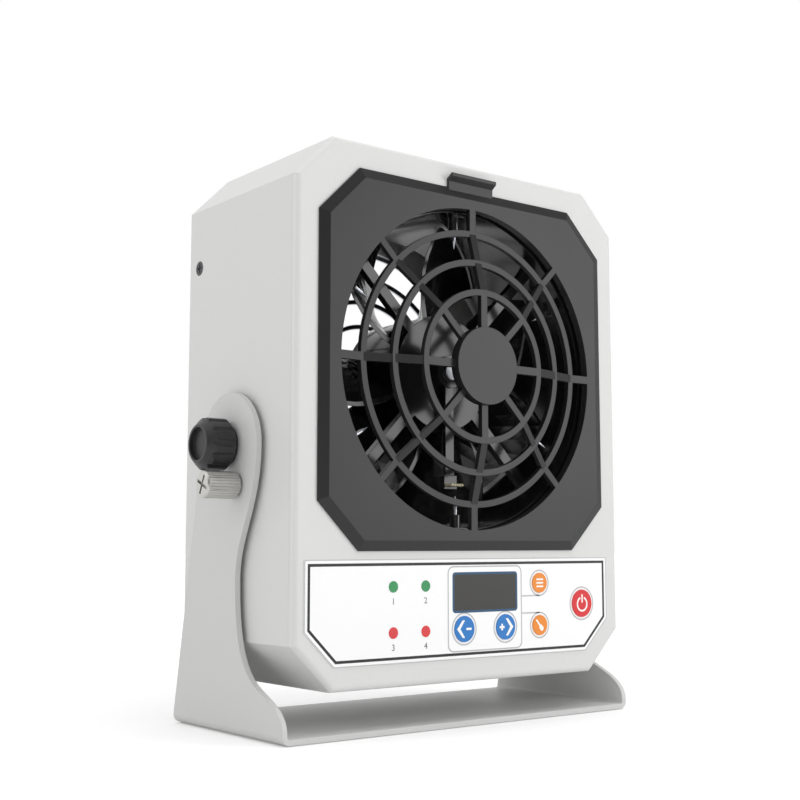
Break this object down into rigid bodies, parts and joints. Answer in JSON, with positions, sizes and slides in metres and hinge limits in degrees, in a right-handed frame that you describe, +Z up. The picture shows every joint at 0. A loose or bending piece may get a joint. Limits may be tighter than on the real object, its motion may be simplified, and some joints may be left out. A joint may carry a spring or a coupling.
{
  "type": "ionizing blower",
  "caption": "Bench-top ionizing air blower: an octagonal fan head with a domed front grille, emitter needles and key panel, tilting in a bent U stand.",
  "frame": {"origin": "centre of the flat underside of the stand's base plate", "axes": "+Z up, the air blows towards -Y out of the grille, +X to the right of someone facing the grille"},
  "size_m": [0.1825, 0.0858, 0.2012],
  "materials": {
    "stand_paint": "fine semi-matt powder coat",
    "case_paint": "fine semi-matt powder coat",
    "front_paint": "fine semi-matt powder coat",
    "zinc": "zinc plated",
    "nickel": "knurled, nickel plated",
    "knob_black": "moulded, fluted",
    "rubber_black": "matt",
    "guard_wire": "bright plated wire",
    "black_screw": "blackened",
    "overlay_white": "satin printed film",
    "display_dark": "dark window with a blue edge",
    "moulded_black": "moulded",
    "lamp_green": "clear lens",
    "lamp_red": "clear lens",
    "board_green": "solder mask",
    "brass": "turned",
    "key_blue": "satin",
    "key_orange": "satin",
    "key_red": "satin",
    "lead_red": "silicone sleeve",
    "fan_black": "glossy moulding",
    "fan_gloss": "polished moulding",
    "winding": "enamelled copper",
    "ceramic": "dark glazed insulator",
    "needle_steel": "polished point",
    "bristle": "nylon tuft",
    "grille_black": "satin moulding"
  },
  "bodies": {
    "stand": {"stand_bracket": "stand_paint", "lock_bush": "zinc"},
    "thumbscrew": {"thumb_screw": "nickel"},
    "left_clamp": {"left_knob": "knob_black", "left_stud": "zinc"},
    "right_clamp": {"right_knob": "knob_black", "right_stud": "zinc"},
    "rotor": {"impeller": "fan_gloss", "rotor_ring": "zinc", "fan_shaft": "zinc"},
    "brush": {"brush_arm": "fan_black", "brush_tuft": "bristle"},
    "grille": {"grille_plate": "grille_black"},
    "minus_key": {"minus_key": "key_blue"},
    "plus_key": {"plus_key": "key_blue"},
    "menu_key": {"menu_key": "key_orange"},
    "brush_key": {"brush_key": "key_orange"},
    "power_key": {"power_key": "key_red"},
    "head": {"pivot_washers": "rubber_black", "left_pivot_nut": "zinc", "right_pivot_nut": "zinc", "case_shell": "case_paint", "front_bezel": "front_paint", "rear_cover": "case_paint", "rear_guard": "guard_wire", "side_screws": "black_screw", "guard_screws": "black_screw", "panel_overlay": "overlay_white", "display_window": "display_dark", "display_module": "moulded_black", "green_lamps": "lamp_green", "red_lamps": "lamp_red", "control_board": "board_green", "board_posts": "brass", "key_switches": "moulded_black", "hv_supply": "moulded_black", "supply_screws": "black_screw", "hv_lead": "lead_red", "power_jack": "moulded_black", "jack_nut": "zinc", "earth_stud": "brass", "fan_frame": "fan_black", "fan_stator": "winding", "fan_bearings": "zinc", "fan_spacers": "zinc", "fan_screws": "zinc", "emitter_ring": "fan_black", "needle_sockets": "ceramic", "emitter_needles": "needle_steel", "brush_pin": "zinc"}
  },
  "joints": [
    {"name": "head_tilt", "type": "hinge", "parent": "stand", "child": "head", "pos_m": [0, 0, 0.097], "axis": [1, 0, 0], "range_deg": [-90, 90]},
    {"name": "left_knob_turn", "type": "hinge", "parent": "head", "child": "left_clamp", "pos_m": [-0.085, 0, 0.097], "axis": [-1, 0, 0], "range_deg": [0, 360]},
    {"name": "right_knob_turn", "type": "hinge", "parent": "head", "child": "right_clamp", "pos_m": [0.085, 0, 0.097], "axis": [1, 0, 0], "range_deg": [0, 360]},
    {"name": "thumbscrew_turn", "type": "hinge", "parent": "stand", "child": "thumbscrew", "pos_m": [-0.085, -0.006, 0.083], "axis": [-1, 0, 0], "range_deg": [0, 360]},
    {"name": "fan_spin", "type": "hinge", "parent": "head", "child": "rotor", "pos_m": [0, 0, 0.1262], "axis": [0, -1, 0], "continuous": true},
    {"name": "brush_sweep", "type": "hinge", "parent": "head", "child": "brush", "pos_m": [0, -0.024, 0.1262], "axis": [0, -1, 0], "continuous": true},
    {"name": "grille_open", "type": "hinge", "parent": "head", "child": "grille", "pos_m": [0, -0.036, 0.0609], "axis": [1, 0, 0], "range_deg": [0, 30]},
    {"name": "minus_key_press", "type": "slide", "parent": "head", "child": "minus_key", "axis": [0, 1, 0], "range_m": [0, 0.0003], "stiffness_N_per_m": 600, "springref_m": -0.0002},
    {"name": "plus_key_press", "type": "slide", "parent": "head", "child": "plus_key", "axis": [0, 1, 0], "range_m": [0, 0.0003], "stiffness_N_per_m": 600, "springref_m": -0.0002},
    {"name": "menu_key_press", "type": "slide", "parent": "head", "child": "menu_key", "axis": [0, 1, 0], "range_m": [0, 0.0003], "stiffness_N_per_m": 600, "springref_m": -0.0002},
    {"name": "brush_key_press", "type": "slide", "parent": "head", "child": "brush_key", "axis": [0, 1, 0], "range_m": [0, 0.0003], "stiffness_N_per_m": 600, "springref_m": -0.0002},
    {"name": "power_key_press", "type": "slide", "parent": "head", "child": "power_key", "axis": [0, 1, 0], "range_m": [0, 0.0003], "stiffness_N_per_m": 600, "springref_m": -0.0002}
  ]
}
